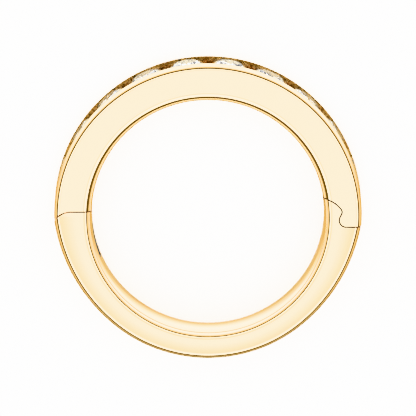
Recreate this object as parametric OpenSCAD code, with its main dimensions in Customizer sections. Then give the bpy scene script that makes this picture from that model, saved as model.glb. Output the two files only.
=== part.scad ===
// Hinged channel set band in yellow gold with ten round brilliants, in millimetres.
// The ring lies on one side face with the finger axis along +Z, and the origin is on that axis,
// on the surface the ring lies on. The stones face -Y and the palm side faces +Y.
// The hinge is on the +X side and the snap catch on the -X side.

/* [Band] */
// Radius of the finger hole
bore_r = 8.65; // [8.55:0.05:8.75]
// Width of the band along the finger
band_w = 3.8; // [3.7:0.05:4.2]
// Outer radius of the half that carries the stones
crown_r = 11.46; // [11.4:0.02:11.56]
// Outer radius at the palm side
palm_r = 10.95; // [10.85:0.05:11.05]
// Larger radius of the two flanks that widen from the palm side to the crown
flank_r = 12.75; // [12.6:0.05:12.9]
// Angle between the palm direction and the line where a flank starts
flank_turn = 40; // [36:1:44]
// How far the shank's half of the finger hole is moved towards the palm
palm_drop = 0.18; // [0:0.02:0.24]
// Rounding of the outer edges
outer_round = 0.45; // [0.3:0.05:0.55]
// Rounding of the inner edges
inner_round = 0.7; // [0.4:0.05:0.8]

/* [Channel] */
// Width of the channel between its two walls
channel_w = 2.9; // [2.8:0.02:2.94]
// Depth of the channel below its rim
channel_depth = 1.15; // [1:0.05:1.3]
// Angle between the middle line of the ring and each end of the channel
channel_end = 1.2; // [0.5:0.1:4]
// Number of stones
stone_count = 10; // [8:2:10]
// Angle between neighbouring stones
stone_pitch = 16.5; // [16.2:0.1:17]
// Clearance between a stone and its seat
stone_gap = 0.03; // [0.02:0.01:0.05]

/* [Stone] */
// Girdle diameter of a stone
stone_d = 3; // [2.95:0.01:3.04]
// Table width as a share of the girdle diameter
table_share = 0.55; // [0.52:0.01:0.6]
// Height of the channel rim above the tables
table_drop = 0.04; // [0.02:0.01:0.15]
// Slope of the main crown facets
crown_slope = 34.5; // [33:0.5:36]
// Slope of the main pavilion facets
pavilion_slope = 41; // [40:0.2:42]
// Thickness of the girdle
girdle_t = 0.09; // [0.08:0.01:0.12]
// How far the star facets reach from the table to the girdle
star_share = 0.5; // [0.45:0.01:0.55]
// How far the lower girdle facets reach from the girdle to the culet
lower_share = 0.78; // [0.72:0.01:0.82]

/* [Hinge] */
// Distance of the hinge pin from the finger axis, across the ring
hinge_x = 10.2; // [10.15:0.05:10.25]
// Distance of the hinge pin from the middle line, towards the palm
hinge_y = 1.2; // [1.1:0.05:1.3]
// Radius of the shank's cheeks around the pin
cheek_r = 1.45; // [1.4:0.05:1.5]
// Radius of the tongue's knuckle around the pin
knuckle_r = 1.38; // [1.3:0.02:1.4]
// Radius of the slot that the knuckle turns in
slot_r = 1.48; // [1.46:0.02:1.5]
// Thickness of the tongue
tongue_t = 1.2; // [1:0.05:1.4]
// How far past the middle line the tongue is flush with the finger hole
tongue_flush = 0.8; // [0.6:0.05:0.9]
// How far past the middle line the slot shows inside the ring
slot_end = 3.45; // [3.2:0.05:3.7]
// Radius of the hinge pin
pin_r = 0.45; // [0.4:0.05:0.5]
// Metal that hides the pin on the upper side
pin_cover = 0.45; // [0.4:0.05:0.6]

/* [Catch] */
// Radius of the shank's shoulder inside the catch
shoulder_r = 2.04; // [2.02:0.01:2.06]
// Direction of the nose from the centre of the shoulder
nose_turn = 216.5; // [215:0.5:218]
// Radius of the shank's nose
nose_r = 0.31; // [0.29:0.01:0.32]
// Radius of the crown's hook, which the nose snaps over
hook_r = 0.55; // [0.53:0.01:0.56]
// Length of the slit in the shank beside the catch
slit_len = 0.95; // [0.8:0.05:1.2]

/* [Gaps] */
// Gap of the seams between the crown and the shank
seam_gap = 0.07; // [0.05:0.01:0.09]
// Gap on each side of the tongue
side_gap = 0.05; // [0.03:0.01:0.08]
// Running clearance between the pin and the tongue
pin_gap = 0.04; // [0.02:0.01:0.06]
// Clearance between the pin and the cheeks that hold it
hold_gap = 0.01; // [0.01:0.01:0.02]

/* [Hidden] */
$fn = 96;

gold = "goldenrod";
mid_z = band_w / 2;
past = 1;                                  // how far cutters run past what they cut
far = 14;                                  // beyond the outside of the ring
core_r = 6;                                // radius that lies well inside the finger hole
blend = 0.01;                              // arcs and lines that run on cross by this much
stone_r = stone_d / 2;

// Centres that the seams are drawn from
hinge = [hinge_x, hinge_y];
shoulder = [-8.24, 0.75];
nose = shoulder + (shoulder_r - nose_r - blend) * heading(nose_turn);
hook = [-10.28, 0.345];

// Sizes of one stone, measured from the upper edge of its girdle
table_r = table_share * stone_r;
table_z = (stone_r - table_r) * tan(crown_slope);
star_r = table_r * cos(22.5) + star_share * (stone_r - table_r * cos(22.5));
star_z = (stone_r - star_r * cos(22.5)) * tan(crown_slope);
lower_r = (1 - lower_share) * stone_r;
lower_z = -girdle_t - (stone_r - lower_r * cos(22.5)) * tan(pavilion_slope);
culet_z = -girdle_t - stone_r * tan(pavilion_slope);
seat_r = crown_r - table_drop - table_z;

// Between the corners of the girdle facets the girdle is scalloped by this much
scallop = stone_r * (1 / cos(11.25) - 1);
scallop_up = scallop * star_z / (stone_r - star_r);
scallop_down = scallop * (-girdle_t - lower_z) / (stone_r - lower_r);

function stone_name(i) = str("stone_", i < 10 ? "0" : "", i);
function stone_turn(i) = 270 + (i - (stone_count + 1) / 2) * stone_pitch;
function heading(turn) = [cos(turn), sin(turn)];

// A circle of points around the stone's axis, those with an odd number raised by odd_z
function circle_points(count, r, z, first = 0, odd_z = 0) = [
    for (k = [0 : count - 1])
        let (a = first + k * 360 / count)
            [r * cos(a), r * sin(a), z + (k % 2) * odd_z]
];

// Where a straight line that crosses between two circles leaves the first one
function crossing_turn(from, to, r1, r2) =
    let (d = to - from)
        atan2(d.y, d.x) + acos((r1 + r2) / norm(d));

// Section of the band with rounded outer edges, from the radius r1 to the radius r2
module rim_section(r1, r2) {
    translate([r1, 0]) square([r2 - outer_round - r1, band_w]);
    translate([r1, outer_round]) square([r2 - r1, band_w - 2 * outer_round]);
    for (z = [outer_round, band_w - outer_round])
        translate([r2 - outer_round, z]) circle(outer_round);
}

// What the finger hole takes out, with its rounded edges
module finger_hole() {
    rotate_extrude() difference() {
        translate([0, -past]) square([bore_r + inner_round, band_w + 2 * past]);
        translate([bore_r, inner_round]) square([2 * inner_round, band_w - 2 * inner_round]);
        for (z = [inner_round, band_w - inner_round])
            translate([bore_r + inner_round, z]) circle(inner_round);
    }
}

// The stone half before it is cut: it runs a little past the middle line on both sides
module crown_blank() {
    overrun = 14;
    rotate_extrude(start = 180 - overrun, angle = 180 + 2 * overrun)
        rim_section(core_r, crown_r);
}

// One side of the palm half before it is cut: half of the round palm side, and a flank of
// a larger radius that starts without a corner and reaches the crown's radius at the seam
module shank_side() {
    shift = flank_r - palm_r;
    overlap = 10;                          // how far the round palm side passes the middle
    flank_angle = 72;                      // past the seam, where the flank is cut
    rotate(90 - flank_turn) {
        rotate_extrude(angle = flank_turn + overlap) rim_section(core_r, palm_r);
        translate([-shift, 0, 0])
            rotate_extrude(start = -flank_angle, angle = flank_angle)
                rim_section(core_r + shift, flank_r);
    }
}

module shank_blank() {
    shank_side();
    mirror([1, 0, 0]) shank_side();
}

// The space on the shank's side of both seams, widened by grow
module shank_zone(grow) {
    cross = crossing_turn(nose, hook, nose_r, hook_r);

    // palm side of the hinge, with the round cheeks
    whole_width() {
        translate([0, hinge_y - cheek_r - grow]) square([hinge_x, far]);
        translate([0, hinge_y]) square([far, far]);
        translate(hinge) circle(cheek_r + grow);
    }

    // palm side of the catch, below the crown's hook
    whole_width() translate([-far, hook.y + hook_r - grow]) square([2 * far, far]);

    // rounded shoulder, from the finger hole to the tip of the nose
    whole_width() intersection() {
        translate(shoulder) circle(shoulder_r + grow);
        polygon([shoulder, shoulder + far * heading(nose_turn), [0, -far], [0, shoulder.y]]);
    }
    whole_width() translate(nose) circle(nose_r + grow);

    // neck between the nose and the hook
    whole_width() difference() {
        polygon([
            shoulder - [0, 1],
            nose,
            nose + (nose_r + grow - blend) * heading(cross),
            hook - (hook_r - grow + blend) * heading(cross),
            hook,
            hook + [0, hook_r],
            shoulder + [0, hook_r]
        ]);
        translate(hook) circle(hook_r - grow);
    }
}

module whole_width() {
    translate([0, 0, -past]) linear_extrude(band_w + 2 * past) children();
}

module middle_layer(t) {
    translate([0, 0, mid_z - t / 2]) linear_extrude(t) children();
}

// The tongue that joins the crown to the hinge pin, between the shank's cheeks
module tongue() {
    root_y = -0.6;
    intersection() {
        shank_blank();
        cylinder(r = crown_r, h = band_w);
        middle_layer(tongue_t) {
            translate(hinge) circle(knuckle_r);
            translate([core_r, root_y]) square([far - core_r, tongue_flush - root_y]);
            translate([hinge_x, root_y]) square([far - hinge_x, hinge_y - root_y]);
        }
    }
}

// The slot between the shank's cheeks, which shows inside the ring as a long opening
module tongue_slot() {
    end_depth = 0.25;
    middle_layer(tongue_t + 2 * side_gap) {
        translate(hinge) circle(slot_r);
        translate([core_r, -past]) square([far - core_r, hinge_y + past]);
        polygon([
            [core_r, 0],
            [hinge_x, 0],
            [hinge_x, hinge_y + slot_r],
            [bore_r + end_depth, slot_end],
            [core_r, slot_end]
        ]);
    }
}

// The seat of one stone: the stone's own section, widened by the clearance
module stone_seat() {
    r = stone_r + stone_gap;
    low = culet_z - stone_gap / cos(pavilion_slope);
    high = stone_gap / cos(crown_slope);
    top = table_z + table_drop + past;
    rotate_extrude() polygon([
        [0, low],
        [r, low + r * tan(pavilion_slope)],
        [r, high + (stone_r - r) * tan(crown_slope)],
        [stone_r - (top - high) / tan(crown_slope) / 2, (top + high) / 2],
        [0, (top + high) / 2]
    ]);
}

module channel() {
    rotate_extrude(start = 180 + channel_end, angle = 180 - 2 * channel_end)
        translate([crown_r - channel_depth, mid_z - channel_w / 2])
            square([channel_depth + past, channel_w]);
}

module at_stone(i) {
    rotate(stone_turn(i)) translate([seat_r, 0, mid_z]) rotate([0, 90, 0]) children();
}

// The half that carries the stones, with the hinge tongue and the hook of the catch
module crown_band() {
    color(gold) difference() {
        union() {
            difference() {
                crown_blank();
                shank_zone(seam_gap);
            }
            tongue();
        }
        finger_hole();
        channel();
        for (i = [1 : stone_count]) at_stone(i) stone_seat();
        translate([hinge_x, hinge_y, 0]) cylinder(r = pin_r + pin_gap, h = band_w);
    }
}

// The half at the palm, with the hinge cheeks and the nose of the catch
module shank() {
    slit_depth = 0.4;
    slit_w = 0.12;
    slit_turn = 151;
    slit_rise = 1.1;
    color(gold) difference() {
        intersection() {
            shank_blank();
            shank_zone(0);
        }
        translate([0, palm_drop, 0]) finger_hole();
        tongue_slot();
        translate([hinge_x, hinge_y, -past])
            cylinder(r = pin_r + hold_gap, h = band_w - pin_cover + past);
        rotate(slit_turn) translate([bore_r, 0, mid_z + slit_rise])
            cube([2 * slit_depth, slit_len, slit_w], center = true);
    }
}

// The pin lies a hair inside both ends of its bore
module hinge_pin() {
    inset = 0.03;
    color(gold) translate([hinge_x, hinge_y, inset])
        cylinder(r = pin_r, h = band_w - pin_cover - 2 * inset);
}

// A round brilliant with 57 facets, its table towards +Z
module brilliant() {
    table = circle_points(8, table_r, table_z);
    stars = circle_points(8, star_r, star_z, 22.5);
    upper = circle_points(32, stone_r, 0, 0, -scallop_up);
    lower = circle_points(32, stone_r, -girdle_t, 0, scallop_down);
    belly = circle_points(8, lower_r, lower_z, 22.5);

    // number of the first point of each group
    s = len(table);
    u = s + len(stars);
    w = u + len(upper);
    b = w + len(lower);
    culet = b + len(belly);

    polyhedron(
        points = concat(table, stars, upper, lower, belly, [[0, 0, culet_z]]),
        faces = concat(
            [[for (k = [7 : -1 : 0]) k]],
            [for (k = [0 : 7]) [k, (k + 1) % 8, s + k]],
            [for (k = [0 : 7]) [k, s + k, u + 4 * k, s + (k + 7) % 8]],
            [for (k = [0 : 7], h = [0, 2])
                let (g = 4 * k + h) [s + k, u + (g + 2) % 32, u + g + 1, u + g]],
            [for (j = [0 : 31]) [w + j, u + j, u + (j + 1) % 32, w + (j + 1) % 32]],
            [for (k = [0 : 7], h = [0, 2])
                let (g = 4 * k + h) [b + k, w + g, w + g + 1, w + (g + 2) % 32]],
            [for (k = [0 : 7]) [culet, b + (k + 7) % 8, w + 4 * k, b + k]]
        )
    );
}

module stone(i) {
    color("aliceblue") at_stone(i) brilliant();
}

crown_band();
shank();
hinge_pin();
for (i = [1 : stone_count])
    stone(i);
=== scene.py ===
"""Looks, floor, light and camera for the hinged channel set band, lying on one side face."""

import math

import bpy
from mathutils import Matrix, Vector


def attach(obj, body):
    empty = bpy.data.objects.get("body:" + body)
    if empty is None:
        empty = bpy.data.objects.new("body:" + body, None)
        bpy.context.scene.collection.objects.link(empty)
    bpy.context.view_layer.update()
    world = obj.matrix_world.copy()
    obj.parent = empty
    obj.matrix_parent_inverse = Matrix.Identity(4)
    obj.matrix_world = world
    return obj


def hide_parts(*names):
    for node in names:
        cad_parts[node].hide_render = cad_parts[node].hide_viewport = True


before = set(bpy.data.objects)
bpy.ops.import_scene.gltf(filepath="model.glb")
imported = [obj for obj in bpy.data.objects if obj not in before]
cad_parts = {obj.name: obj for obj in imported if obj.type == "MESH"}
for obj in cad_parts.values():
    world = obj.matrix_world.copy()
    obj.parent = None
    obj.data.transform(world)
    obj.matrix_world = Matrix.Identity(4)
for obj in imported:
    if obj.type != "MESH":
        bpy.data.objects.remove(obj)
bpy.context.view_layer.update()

MM = 0.001

# Camera, from the photograph
IMAGE_SIDE_PX = 416
PX_PER_MM = 13.41
TILT_DEG = 12.0
TARGET_MM = Vector((0.0, -0.2, 1.9))
LENS_MM = 800.0
SENSOR_MM = 36.0

# Sizes of the two gold halves in millimetres and degrees, the same as those of their solids.
# Turns count from the hinge's side, +X, past the palm side, +Y.
BORE_R, BAND_W = 8.65, 3.8
CROWN_R, PALM_R, FLANK_R = 11.46, 10.95, 12.75
FLANK_TURN, PALM_DROP = 40, 0.18
OUTER_ROUND, INNER_ROUND = 0.45, 0.7
# Channel and stones
CHANNEL_W, CHANNEL_DEPTH, CHANNEL_END = 2.9, 1.15, 1.2
STONE_COUNT, STONE_PITCH, STONE_GAP = 10, 16.5, 0.03
STONE_R, TABLE_SHARE, TABLE_DROP = 1.5, 0.55, 0.04
CROWN_SLOPE, PAVILION_SLOPE, GIRDLE_T = 34.5, 41.0, 0.09
# Height of a stone's table over its girdle
TABLE_Z = STONE_R * (1 - TABLE_SHARE) * math.tan(math.radians(CROWN_SLOPE))
# Hinge
HINGE = Vector((10.2, 1.2))
CHEEK_R, KNUCKLE_R, SLOT_R = 1.45, 1.38, 1.48
TONGUE_T, TONGUE_FLUSH, TONGUE_ROOT = 1.2, 0.8, -0.6
SLOT_START, SLOT_END, SLOT_END_DEPTH, SIDE_GAP = -1, 3.45, 0.25, 0.05
PIN_R, PIN_COVER, PIN_GAP, HOLD_GAP = 0.45, 0.45, 0.04, 0.01
# Catch and seams
SHOULDER, SHOULDER_R = Vector((-8.24, 0.75)), 2.04
NOSE_TURN, NOSE_R = 216.5, 0.31
HOOK, HOOK_R = Vector((-10.28, 0.345)), 0.55
SEAM_GAP = 0.07
SLIT_TURN, SLIT_RISE, SLIT_LEN, SLIT_W, SLIT_DEPTH = 151, 1.1, 0.95, 0.12, 0.4

# What polishing adds in the picture: broken edges along the seams, side faces of the shank that
# roll over towards the outside, and a bowed wall in the finger hole
EDGE_EASE = 0.03
DOME_DEG, DOME_W = 5.5, 0.9
BORE_BOW = math.radians(10)
# How far the normal leans at each turn of the finger hole's rounded edge, in degrees
CROWN_EDGE = ((0, 0), (90, 90))
SHANK_EDGE = ((0, 0), (21, 14.5), (29.5, 42), (90, 90))

# Building: where the blanks start and end, and how far the tools reach past them
CROWN_TURNS = 166, 374
SHANK_TURNS = -22, 202
FAR, CORE_R, CLEAR = 14, 6, 1
STATION_STEP, FILLET_STEPS = 1.0, 10
MID_Z = BAND_W / 2
SQUARE = ((-1, -1), (1, -1), (1, 1), (-1, 1))

# A point this close to level with a rounding's centre isn't on the rounding, and a normal that
# is further from the face's own than this cosine says belongs to another face
LEVEL, SAME_FACE = 1e-4, 0.9

# Materials of the gold pieces, by their slots
MATERIAL_COUNT = 4
POLISHED, SEAM, CHANNEL, SLOT = range(MATERIAL_COUNT)

STONE_NODES = sorted(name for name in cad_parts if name.startswith("stone_"))


def heading(turn):
    return Vector((math.cos(math.radians(turn)), math.sin(math.radians(turn))))


def turn_of(vector):
    return math.degrees(math.atan2(vector.y, vector.x))


def spread(start, end, step):
    count = max(1, math.ceil(abs(end - start) / step))
    return [start + (end - start) * i / count for i in range(count + 1)]


def arc(centre, radius, start, end, step=3.0):
    return [centre + radius * heading(turn) for turn in spread(start, end, step)]


# Meshes are built in millimetres and shrunk to metres when they are finished

def mesh_object(name, points, faces, slot_index):
    mesh = bpy.data.meshes.new(name)
    mesh.from_pydata([tuple(p) for p in points], [], faces)
    for _ in range(MATERIAL_COUNT):
        mesh.materials.append(None)
    mesh.polygons.foreach_set("material_index", [slot_index] * len(mesh.polygons))
    mesh.update()
    made = bpy.data.objects.new(name, mesh)
    bpy.context.scene.collection.objects.link(made)
    return made


def loft(name, sections, slot_index):
    """Solid through closed sections that have the same number of points."""
    size = len(sections[0])
    points = [p for section in sections for p in section]
    faces = []
    for i in range(len(sections) - 1):
        for j in range(size):
            k = (j + 1) % size
            faces.append((i * size + j, (i + 1) * size + j, (i + 1) * size + k, i * size + k))
    for first, order in ((0, 1), ((len(sections) - 1) * size, -1)):
        section = points[first:first + size]
        points.append(sum((Vector(p) for p in section), Vector((0, 0, 0))) / size)
        middle = len(points) - 1
        for j in range(size):
            edge = (first + j, first + (j + 1) % size)[::order]
            faces.append((middle, *edge))
    return mesh_object(name, points, faces, slot_index)


def prism(name, outline, low, high, slot_index):
    """Solid that stands on a closed outline, given anticlockwise."""
    size = len(outline)
    points = [(p[0], p[1], z) for z in (low, high) for p in outline]
    faces = [tuple(reversed(range(size))), tuple(range(size, 2 * size))]
    faces += [(j, (j + 1) % size, size + (j + 1) % size, size + j) for j in range(size)]
    return mesh_object(name, points, faces, slot_index)


def lathe(name, profile, place, slot_index, count=72):
    """Solid of revolution: the profile's (radius, height) points run from the axis to the axis."""
    inner = profile[1:-1]
    points = [place @ Vector((0, 0, profile[0][1])), place @ Vector((0, 0, profile[-1][1]))]
    for i in range(count):
        side = heading(360 * i / count)
        points += [place @ Vector((side.x * r, side.y * r, z)) for r, z in inner]
    size = len(inner)
    faces = []
    for i in range(count):
        a, b = 2 + i * size, 2 + (i + 1) % count * size
        faces.append((0, b, a))
        faces += [(a + j, b + j, b + j + 1, a + j + 1) for j in range(size - 1)]
        faces.append((1, a + size - 1, b + size - 1))
    return mesh_object(name, points, faces, slot_index)


def combine(target, tool, operation):
    modifier = target.modifiers.new("combine", "BOOLEAN")
    modifier.object = tool
    modifier.operation = operation
    modifier.solver = "MANIFOLD"
    depsgraph = bpy.context.evaluated_depsgraph_get()
    result = bpy.data.meshes.new_from_object(target.evaluated_get(depsgraph))
    target.modifiers.clear()
    target.data = result
    bpy.data.objects.remove(tool)
    return target


def cut(target, tool):
    return combine(target, tool, "DIFFERENCE")


def band_section(outer, outer_side, inner, inner_side):
    """Section of the band: up the outside, and down the finger hole, with rounded edges."""
    corners = (
        (outer, outer_side, OUTER_ROUND, OUTER_ROUND, -90, 0),
        (outer, outer_side, OUTER_ROUND, BAND_W - OUTER_ROUND, 0, 90),
        (inner, inner_side, INNER_ROUND, BAND_W - INNER_ROUND, 90, 0),
        (inner, inner_side, INNER_ROUND, INNER_ROUND, 0, -90),
    )
    points = []
    for surface, side, radius, z, start, end in corners:
        for turn in spread(start, end, 90 / FILLET_STEPS):
            along = heading(turn)
            flat = surface - side * radius * (1 - along.x)
            points.append((flat.x, flat.y, z + radius * along.y))
    return points


def crown_blank(name):
    sections = []
    for turn in spread(*CROWN_TURNS, STATION_STEP):
        side = heading(turn)
        sections.append(band_section(side * CROWN_R, side, side * BORE_R, -side))
    return loft(name, sections, POLISHED)


def shank_arcs():
    """Outer arcs of the palm half, from the hinge to the catch: centre, radius and turns."""
    shift = FLANK_R - PALM_R
    first, last = SHANK_TURNS
    start, end = 90 - FLANK_TURN, 90 + FLANK_TURN
    return (
        (-shift * heading(start), FLANK_R, first, start),
        (Vector((0, 0)), PALM_R, start, end),
        (-shift * heading(end), FLANK_R, end, last),
    )


def shank_blank(name, bore_centre):
    sections = []
    for centre, radius, start, end in shank_arcs():
        for turn in spread(start, end, STATION_STEP)[1 if sections else 0:]:
            outer = centre + radius * heading(turn)
            side = (outer - bore_centre).normalized()
            inner = bore_centre + side * BORE_R
            sections.append(band_section(outer, heading(turn), inner, -side))
    return loft(name, sections, POLISHED)


def shank_outline(grow):
    """Outline of the shank's side of both seams, widened by grow."""
    nose = SHOULDER + (SHOULDER_R - NOSE_R) * heading(NOSE_TURN)
    apart = HOOK - nose
    cross = turn_of(apart) + math.degrees(math.acos((NOSE_R + HOOK_R) / apart.length))
    return (
        [Vector((FAR, FAR)), Vector((-FAR, FAR)), Vector((-FAR, HOOK.y + HOOK_R - grow))]
        + arc(HOOK, HOOK_R - grow, 90, cross - 180)
        + arc(nose, NOSE_R + grow, cross, NOSE_TURN, step=6)
        + arc(SHOULDER, SHOULDER_R + grow, NOSE_TURN, 360)[1:]
        + [Vector((CORE_R, HINGE.y - CHEEK_R - grow))]
        + arc(HINGE, CHEEK_R + grow, 270, 360)
        + [Vector((FAR, HINGE.y))]
    )


def seam_cutter(grow):
    return prism("seam_cutter", shank_outline(grow), -CLEAR, BAND_W + CLEAR, SEAM)


def tongue():
    """Tongue between the cheeks: what it leaves of the cutter of the crown's seam."""
    low_turn = 180 + math.degrees(math.asin((HINGE.y - TONGUE_FLUSH) / KNUCKLE_R))
    outline = (
        [Vector((CORE_R, TONGUE_ROOT)), Vector((FAR, TONGUE_ROOT)), Vector((FAR, HINGE.y))]
        + arc(HINGE, KNUCKLE_R, 0, low_turn)
        + [Vector((CORE_R, TONGUE_FLUSH))]
    )
    half = TONGUE_T / 2 - EDGE_EASE
    body = prism("tongue", outline, MID_Z - half, MID_Z + half, SEAM)
    centre, radius, start, end = shank_arcs()[0]
    outside = [Vector((0, 0))] + arc(centre, radius, start, end, STATION_STEP)
    outer = prism("outer", outside, -CLEAR, BAND_W + CLEAR, POLISHED)
    return combine(body, outer, "INTERSECT")


def tongue_slot():
    outline = (
        [Vector((CORE_R, SLOT_START)), Vector((FAR, SLOT_START)), Vector((FAR, HINGE.y))]
        + arc(HINGE, SLOT_R, 0, 90)
        + [Vector((BORE_R + SLOT_END_DEPTH, SLOT_END)), Vector((CORE_R, SLOT_END))]
    )
    half = TONGUE_T / 2 + SIDE_GAP
    return prism("slot", outline, MID_Z - half, MID_Z + half, SLOT)


def pin_hole(radius, high):
    step = 5
    return prism("pin_hole", arc(HINGE, radius, 0, 360 - step, step), -CLEAR, high, SEAM)


def slit():
    side = heading(SLIT_TURN)
    middle = side * BORE_R
    across = Vector((-side.y, side.x)) * SLIT_LEN / 2
    corners = [middle + s * side * SLIT_DEPTH + t * across for s, t in SQUARE]
    low = MID_Z + SLIT_RISE - SLIT_W / 2
    return prism("slit", corners, low, low + SLIT_W, SLOT)


def channel():
    sections = []
    low, high = MID_Z - CHANNEL_W / 2, MID_Z + CHANNEL_W / 2
    floor, top = CROWN_R - CHANNEL_DEPTH, CROWN_R + CLEAR
    for turn in spread(180 + CHANNEL_END, 360 - CHANNEL_END, STATION_STEP):
        side = heading(turn)
        sections.append([
            (side.x * r, side.y * r, z)
            for r, z in ((floor, high), (floor, low), (top, low), (top, high))
        ])
    return loft("channel", sections, CHANNEL)


def stone_place(number):
    """From a stone's own axes, its table towards +Z, to its place in the ring."""
    turn = 270 + (number - (STONE_COUNT + 1) / 2) * STONE_PITCH
    side = heading(turn) * (CROWN_R - TABLE_DROP - TABLE_Z)
    out = Matrix.Rotation(math.radians(90), 4, "Y")
    spin = Matrix.Rotation(math.radians(turn), 4, "Z")
    return Matrix.Translation((side.x, side.y, MID_Z)) @ spin @ out


def stone_seat(number):
    crown, pavilion = (math.tan(math.radians(a)) for a in (CROWN_SLOPE, PAVILION_SLOPE))
    r = STONE_R + STONE_GAP
    low = -GIRDLE_T - STONE_R * pavilion - STONE_GAP / math.cos(math.radians(PAVILION_SLOPE))
    high = STONE_GAP / math.cos(math.radians(CROWN_SLOPE))
    top = TABLE_Z + TABLE_DROP + CLEAR
    profile = [
        (0, low),
        (r, low + r * pavilion),
        (r, high + (STONE_R - r) * crown),
        (STONE_R - (top - high) / crown / 2, (top + high) / 2),
        (0, (top + high) / 2),
    ]
    return lathe("seat", profile, stone_place(number), CHANNEL)


def edge_lean(edge, turn):
    """Lean of the normal at a turn of the finger hole's rounded edge, both in radians."""
    turn = math.degrees(turn)
    for (a, low), (b, high) in zip(edge, edge[1:]):
        if turn <= b:
            break
    return math.radians(low + (high - low) * (turn - a) / (b - a))


def finish_gold(made, outer_arcs, bore_centre, dome_deg, edge, body):
    """Exact normals on the rounded band, flat ones where it is cut, then metres and its body."""
    mesh = made.data

    def outer_arc(point):
        for centre, radius, start, end in outer_arcs:
            if start <= turn_of(point - centre) % 360 <= end:
                return centre, radius
        return min(outer_arcs, key=lambda a: abs((point - a[0]).length - a[1]))[:2]

    def band_normal(position):
        point = position.xy
        outside = point.length > (CROWN_R + BORE_R) / 2
        if outside:
            centre, radius = outer_arc(point)
            away, rounding = point - centre, OUTER_ROUND
            core = min(away.length, radius - rounding)
        else:
            away, rounding = point - bore_centre, INNER_ROUND
            core = max(away.length, BORE_R + rounding)
        out = away.length - core
        up = position.z - min(max(position.z, rounding), BAND_W - rounding)
        lean = math.atan2(abs(out), abs(up))
        rounded = abs(up) > LEVEL
        if outside and rounded:
            inward = max(0.0, radius - OUTER_ROUND - away.length)
            dome = math.radians(dome_deg) * max(0.0, 1 - inward / DOME_W) ** 2
            lean = dome + lean * (1 - dome_deg / 90)
        elif rounded:
            lean = edge_lean(edge, lean) * (1 - BORE_BOW / (math.pi / 2))
        elif not outside:
            up = position.z - MID_Z
            lean = math.pi / 2 - BORE_BOW * abs(up) / (MID_Z - INNER_ROUND)
        flat = away.normalized() * math.copysign(math.sin(lean), out)
        return Vector((flat.x, flat.y, math.copysign(math.cos(lean), up))).normalized()

    normals = []
    for face in mesh.polygons:
        flat = face.normal.copy()
        polished = face.material_index == POLISHED
        for index in face.vertices:
            normal = band_normal(mesh.vertices[index].co) if polished else flat
            normals.append(normal if normal.dot(flat) > SAME_FACE else flat)
    mesh.shade_smooth()
    mesh.normals_split_custom_set(normals)
    mesh.transform(Matrix.Scale(MM, 4))
    mesh.update()
    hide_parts(made.name.removesuffix("_gold"))
    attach(made, body)


def make_crown():
    made = cut(crown_blank("crown_band_gold"), cut(seam_cutter(SEAM_GAP + EDGE_EASE), tongue()))
    cut(made, channel())
    for number in range(1, STONE_COUNT + 1):
        cut(made, stone_seat(number))
    cut(made, pin_hole(PIN_R + PIN_GAP, BAND_W + CLEAR))
    middle = Vector((0, 0))
    finish_gold(made, [(middle, CROWN_R, 0, 360)], middle, 0, CROWN_EDGE, "crown")
    return made


def make_shank():
    bore_centre = Vector((0, PALM_DROP))
    made = combine(shank_blank("shank_gold", bore_centre), seam_cutter(-EDGE_EASE), "INTERSECT")
    cut(made, tongue_slot())
    cut(made, pin_hole(PIN_R + HOLD_GAP, BAND_W - PIN_COVER))
    cut(made, slit())
    finish_gold(made, shank_arcs(), bore_centre, DOME_DEG, SHANK_EDGE, "palm_half")
    return made


def make_camera():
    tilt = math.radians(TILT_DEG)
    right = Vector((-1, 0, 0))
    up = Vector((0, -math.cos(tilt), -math.sin(tilt)))
    back = Vector((0, -math.sin(tilt), math.cos(tilt)))
    data = bpy.data.cameras.new("camera")
    data.lens = LENS_MM
    data.sensor_width = SENSOR_MM
    view_side = IMAGE_SIDE_PX / PX_PER_MM * MM
    distance = view_side * LENS_MM / SENSOR_MM
    data.clip_start = distance * 0.1
    data.clip_end = distance * 10
    camera = bpy.data.objects.new("camera", data)
    bpy.context.scene.collection.objects.link(camera)
    place = Matrix((right, up, back)).transposed().to_4x4()
    place.translation = TARGET_MM * MM + back * distance
    camera.matrix_world = place
    bpy.context.scene.camera = camera


def node_tree(name):
    material = bpy.data.materials.new(name)
    material.use_nodes = True
    tree = material.node_tree
    return material, tree, tree.nodes["Principled BSDF"]


def fill(tree, socket, value):
    """Give a socket a constant, or link another node's output to it."""
    if isinstance(value, bpy.types.NodeSocket):
        tree.links.new(value, socket)
    else:
        socket.default_value = value


def fill_all(tree, node, values):
    for name, value in values.items():
        fill(tree, node.inputs[name], value)


def arithmetic(tree, operation, *values):
    made = tree.nodes.new("ShaderNodeMath")
    made.operation = operation
    for socket, value in zip(made.inputs, values):
        fill(tree, socket, value)
    return made.outputs[0]


def vector_math(tree, operation, *values):
    made = tree.nodes.new("ShaderNodeVectorMath")
    made.operation = operation
    for socket, value in zip(made.inputs, values):
        fill(tree, socket, value)
    return made.outputs["Value" if operation in ("LENGTH", "DOT_PRODUCT") else "Vector"]


def component(tree, vector, name):
    made = tree.nodes.new("ShaderNodeSeparateXYZ")
    tree.links.new(vector, made.inputs[0])
    return made.outputs[name]


def remap(tree, value, low, high, to_low, to_high):
    made = tree.nodes.new("ShaderNodeMapRange")
    fill_all(tree, made, {
        "Value": value, "From Min": low, "From Max": high, "To Min": to_low, "To Max": to_high,
    })
    return made.outputs["Result"]


def mix_colour(tree, factor, first, second, blend="MIX"):
    mix = tree.nodes.new("ShaderNodeMix")
    mix.data_type = "RGBA"
    mix.blend_type = blend
    fill(tree, mix.inputs["Factor"], factor)
    for name, colour in (("A", first), ("B", second)):
        fill(tree, mix.inputs[name], (*colour, 1) if isinstance(colour, tuple) else colour)
    return mix.outputs["Result"]


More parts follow.
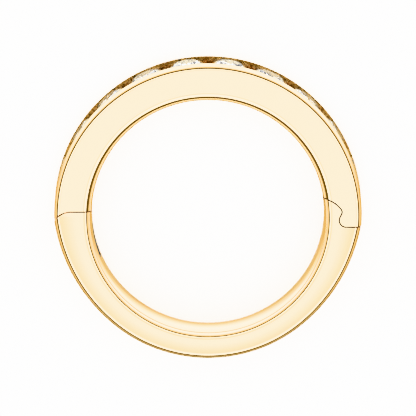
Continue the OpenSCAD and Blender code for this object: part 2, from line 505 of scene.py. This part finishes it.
def mix_shader(tree, factor, first, second):
    mix = tree.nodes.new("ShaderNodeMixShader")
    for socket, value in zip(mix.inputs, (factor, first, second)):
        tree.links.new(value, socket)
    return mix.outputs[0]


def object_coords(tree):
    return tree.nodes.new("ShaderNodeTexCoord").outputs["Object"]


def across_axis(tree, coords):
    """Where a point lies seen along the finger axis."""
    return vector_math(tree, "MULTIPLY", coords, (1, 1, 0))


def axis_distance(tree, coords):
    return vector_math(tree, "LENGTH", across_axis(tree, coords))


def noise(tree, vector, scale, detail):
    made = tree.nodes.new("ShaderNodeTexNoise")
    fill_all(tree, made, {"Vector": vector, "Scale": scale, "Detail": detail})
    return made.outputs["Fac"]


def add_bump(tree, shader, height, strength, depth):
    bump = tree.nodes.new("ShaderNodeBump")
    fill_all(tree, bump, {"Height": height, "Strength": strength, "Distance": depth * MM})
    tree.links.new(bump.outputs["Normal"], shader.inputs["Normal"])


# Colours of the materials, and the scales of what varies over them, per metre
GOLD, CLOUDED_GOLD = (1.0, 0.85, 0.58), (0.985, 0.835, 0.56)
HAIRLINE_SCALE, HAIRLINE_STRETCH, CLOUD_SCALE = 26000, 0.04, 500
# Colours of the channel, darker and browner than the polish: the cut gold and its nicks are partly
# painted shade for the recesses between the stones, and the dark brown at the top of the channel's
# walls is painted shade
NICK_AND_PAINTED_SHADE, CUT_AND_PAINTED_SHADE, RIM_PAINTED_SHADE = (0.38, 0.2, 0.08), (0.82, 0.56, 0.27), (0.5, 0.3, 0.1)
NICK_SCALE, DUST_SCALE = 4500, 2500
# Depths below the crown's outside between which the channel's wall turns from the dark brown
# painted shade at its top to the cut gold
RIM_SHADE_START, RIM_SHADE_END = 0.15, 0.35

DIAMOND_IOR = 2.417
FACET_SCALE, FACET_STRETCH = 5200, (1, 1, 0.3)
# Share of the stones' facets that is painted dark, as painted dark reflections, in the middle of
# the row and at its ends, and how far from its middle they lie, sideways in millimetres
DARK_MIDDLE, DARK_ENDS, DARK_SOFTNESS, DARKEST = 0.46, 0.42, 0.12, 0.95
MIDDLE_X, ENDS_X = 4, 8


def gold_material():
    """Mirror polish: faint clouds from the buffing wheel, and hairlines that run round the ring."""
    material, tree, shader = node_tree("yellow_gold")
    coords = object_coords(tree)
    # hairlines are noise that is fine across the ring and long round it
    reach = arithmetic(tree, "ADD", axis_distance(tree, coords), component(tree, coords, "Z"))
    fine = tree.nodes.new("ShaderNodeCombineXYZ")
    tree.links.new(reach, fine.inputs["Z"])
    long = vector_math(tree, "MULTIPLY", across_axis(tree, coords), (HAIRLINE_STRETCH,) * 3)
    drawn_out = vector_math(tree, "ADD", fine.outputs[0], long)
    hairlines = noise(tree, drawn_out, HAIRLINE_SCALE, 3)
    clouds = remap(tree, noise(tree, coords, CLOUD_SCALE, 4), 0.3, 0.7, 0, 1)
    fill_all(tree, shader, {
        "Base Color": mix_colour(tree, clouds, GOLD, CLOUDED_GOLD),
        "Metallic": 1.0,
        "Roughness": remap(tree, hairlines, 0.35, 0.75, 0.035, 0.085),
    })
    add_bump(tree, shader, hairlines, 0.04, 0.003)
    return material


def dust_and_shade_material(name, dark, light, metallic, smooth, rough):
    """Unpolished inside of a gap, with polishing dust left in it, in colours darker than the polish
    as painted shade for the gap.
    """
    material, tree, shader = node_tree(name)
    dust = noise(tree, object_coords(tree), DUST_SCALE, 3)
    fill_all(tree, shader, {
        "Base Color": mix_colour(tree, dust, dark, light),
        "Metallic": metallic,
        "Roughness": remap(tree, dust, 0.3, 0.7, smooth, rough),
    })
    return material


def seam_material():
    # walls inside the seams and the pin hole: dull gold, darker than the polish as painted shade in
    # the gap
    return dust_and_shade_material("dull_gold_and_painted_shade", (0.55, 0.38, 0.22), (0.85, 0.64, 0.4), 0.9, 0.3, 0.5)


def slot_material():
    """For the knuckle's slot and the slit, which are too deep for light to reach: painted shade,
    near-black.
    """
    # painted shade: near-black colours where light doesn't reach
    dark, light = (0.02, 0.016, 0.014), (0.05, 0.04, 0.035)
    return dust_and_shade_material("slot_painted_shade", dark, light, 0.0, 0.6, 0.85)


def channel_material():
    """Bright cut left by the graver in the channel: satin, with darker nicks. Its gold is browner
    and darker than the polish, partly painted shade for the recesses between the stones, and the
    top of its walls is painted dark brown as painted shade.
    """
    material, tree, shader = node_tree("satin_gold_and_painted_shade")
    coords = object_coords(tree)
    nicks = remap(tree, noise(tree, coords, NICK_SCALE, 2), 0.4, 0.6, 0, 1)
    # painted shade: the top of the channel's walls, near the crown's outside, turns dark brown
    low, high = (CROWN_R - RIM_SHADE_END) * MM, (CROWN_R - RIM_SHADE_START) * MM
    rim_shade = remap(tree, axis_distance(tree, coords), low, high, 0, 1)
    # the cut gold and its nicks are darker than the polish, partly painted shade for the recesses
    # between the stones
    fill_all(tree, shader, {
        "Base Color": mix_colour(tree, rim_shade, mix_colour(tree, nicks, NICK_AND_PAINTED_SHADE, CUT_AND_PAINTED_SHADE), RIM_PAINTED_SHADE),
        "Metallic": 1.0,
        "Roughness": remap(tree, nicks, 0, 1, 0.22, 0.38),
    })
    add_bump(tree, shader, nicks, 0.06, 0.02)
    return material


def stone_material():
    """Clear crown over pavilion facets that throw the light back; some facets are painted
    near-black, as painted dark reflections.
    """
    material, tree, clear = node_tree("diamond")
    fill_all(tree, clear, {
        "Base Color": (1.0, 1.0, 1.0, 1),
        "Roughness": 0.0,
        "IOR": DIAMOND_IOR,
        "Transmission Weight": 1.0,
    })
    mirror, painted_dark_reflection = (tree.nodes.new("ShaderNodeBsdfPrincipled") for _ in range(2))
    fill_all(tree, mirror, {"Base Color": (0.92, 0.95, 1.0, 1), "Metallic": 1.0, "Roughness": 0.02})
    fill_all(tree, painted_dark_reflection, {
        "Base Color": (0.015, 0.015, 0.02, 1), "Roughness": 0.2, "Specular IOR Level": 0.15,
    })

    # facets are cells with a random number each, and those with a low one are painted dark, as
    # painted dark reflections
    coords = object_coords(tree)
    cells = tree.nodes.new("ShaderNodeTexVoronoi")
    stretched = vector_math(tree, "MULTIPLY", coords, FACET_STRETCH)
    fill_all(tree, cells, {"Vector": stretched, "Scale": FACET_SCALE})
    shade = tree.nodes.new("ShaderNodeSeparateColor")
    tree.links.new(cells.outputs["Color"], shade.inputs[0])
    sideways = arithmetic(tree, "ABSOLUTE", component(tree, coords, "X"))
    share = remap(tree, sideways, MIDDLE_X * MM, ENDS_X * MM, DARK_MIDDLE, DARK_ENDS)
    sure = arithmetic(tree, "SUBTRACT", share, DARK_SOFTNESS)
    # painted dark reflections: the facets with a low number are mixed towards near-black
    dark = remap(tree, shade.outputs["Red"], sure, share, DARKEST, 0.0)

    girdle = (CROWN_R - TABLE_DROP - TABLE_Z - GIRDLE_T / 2) * MM
    below = arithmetic(tree, "LESS_THAN", axis_distance(tree, coords), girdle)
    lit = mix_shader(tree, below, clear.outputs[0], mirror.outputs[0])
    # near-black shader mixed over the stone as painted dark reflections
    surface = mix_shader(tree, dark, lit, painted_dark_reflection.outputs[0])
    tree.links.new(surface, tree.nodes["Material Output"].inputs["Surface"])
    return material


def floor_material():
    material, tree, shader = node_tree("floor")
    fill_all(tree, shader, {"Base Color": (0.85, 0.85, 0.85, 1), "Roughness": 0.9})
    return material


def make_floor():
    half = 1.0
    data = bpy.data.meshes.new("floor")
    data.from_pydata([(half * x, half * y, 0) for x, y in SQUARE], [], [(0, 1, 2, 3)])
    floor = bpy.data.objects.new("floor", data)
    bpy.context.scene.collection.objects.link(floor)
    data.materials.append(floor_material())
    floor.visible_glossy = False
    floor.visible_transmission = False


# Light round the ring, seen in its polish: angle in degrees, radiance and colour, each table
# from an axis of its own that leans from the zenith towards the palm side. The wall's radiances
# are shares of the softbox's light that get past it, and the ground takes over from both of them
# below the horizon.
WHITE, CREAM, AMBER = (1.0, 1.0, 1.0), (1.0, 0.94, 0.76), (1.0, 0.62, 0.2)
HONEY, UMBER = (1.0, 0.76, 0.42), (1.0, 0.68, 0.3)
SOFTBOX_LEAN, WALL_LEAN, GROUND_LEAN = 11.5, 18, 90
SOFTBOX = (
    (0, 3.4, WHITE),
    (4, 3.4, WHITE),
    (11, 2.2, CREAM),
    (17, 2.2, CREAM),
    (22, 6.0, WHITE),
    (90, 6.0, WHITE),
)
WALL = (
    (0, 1.0, WHITE),
    (31, 1.0, WHITE),
    (39, 0.03, AMBER),
    (65, 0.03, AMBER),
    (73, 0.3, HONEY),
    (85, 0.35, HONEY),
    (92, 1.0, WHITE),
)
GROUND = (
    (0, 0.45, HONEY),
    (40, 0.5, HONEY),
    (70, 0.75, UMBER),
    (80, 0.95, UMBER),
    (86, 0.9, UMBER),
    (94, 1.7, HONEY),
    (104, 3.0, CREAM),
    (116, 5.0, WHITE),
    (180, 5.0, WHITE),
)
HORIZON_BLUR = 0.03
# Level of the light inside the stones, where it is grey and its contrast is squared
INSIDE_LEVEL = 0.25
FLOOR_LIGHT = 9.0


def ring_of_light(tree, coords, lean_deg, table):
    """Colour by the angle from a leaning axis, from a table of angle, radiance and colour."""
    lean = math.radians(lean_deg)
    cosine = vector_math(tree, "DOT_PRODUCT", coords, (0, math.sin(lean), math.cos(lean)))
    half_turns = arithmetic(tree, "DIVIDE", arithmetic(tree, "ARCCOSINE", cosine), math.pi)
    ramp = tree.nodes.new("ShaderNodeValToRGB")
    stops = ramp.color_ramp.elements
    given = len(stops)
    for number, (degrees, radiance, colour) in enumerate(table):
        stop = stops[number] if number < given else stops.new(degrees / 180)
        stop.position = degrees / 180
        stop.color = [radiance * c for c in colour] + [1]
    tree.links.new(half_turns, ramp.inputs["Fac"])
    return ramp.outputs["Color"]


def make_world():
    """Soft studio light: a large overhead softbox with a brighter rim, in a darker warm room."""
    world = bpy.data.worlds.new("studio")
    bpy.context.scene.world = world
    world.use_nodes = True
    tree = world.node_tree
    coords = tree.nodes.new("ShaderNodeTexCoord").outputs["Generated"]
    softbox = ring_of_light(tree, coords, SOFTBOX_LEAN, SOFTBOX)
    wall = ring_of_light(tree, coords, WALL_LEAN, WALL)
    ground = ring_of_light(tree, coords, GROUND_LEAN, GROUND)
    sky = mix_colour(tree, 1.0, softbox, wall, "MULTIPLY")
    height = component(tree, coords, "Z")
    above = remap(tree, height, -HORIZON_BLUR, HORIZON_BLUR, 0, 1)
    colour = mix_colour(tree, above, ground, sky)

    path = tree.nodes.new("ShaderNodeLightPath")
    grey = tree.nodes.new("ShaderNodeRGBToBW")
    tree.links.new(colour, grey.inputs[0])
    contrast = arithmetic(tree, "POWER", grey.outputs[0], 2)
    inside = arithmetic(tree, "MULTIPLY", contrast, INSIDE_LEVEL)
    colour = mix_colour(tree, path.outputs["Is Transmission Ray"], colour, inside)
    # the floor is lit evenly, and what shows past its edge is as pale as the floor
    for ray in ("Is Diffuse Ray", "Is Camera Ray"):
        colour = mix_colour(tree, path.outputs[ray], colour, (FLOOR_LIGHT,) * 3)
    tree.links.new(colour, tree.nodes["Background"].inputs["Color"])


def dress(made, materials):
    made.data.materials.clear()
    for material in materials:
        made.data.materials.append(material)


make_camera()
make_floor()
make_world()

gold = gold_material()
in_slot_order = (gold, seam_material(), channel_material(), slot_material())
for made in (make_crown(), make_shank()):
    indices = [face.material_index for face in made.data.polygons]
    dress(made, in_slot_order)
    made.data.polygons.foreach_set("material_index", indices)
dress(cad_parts["hinge_pin"], (gold,))
stone = stone_material()
for name in STONE_NODES:
    dress(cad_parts[name], (stone,))
bpy.context.scene.view_settings.view_transform = "Khronos PBR Neutral"
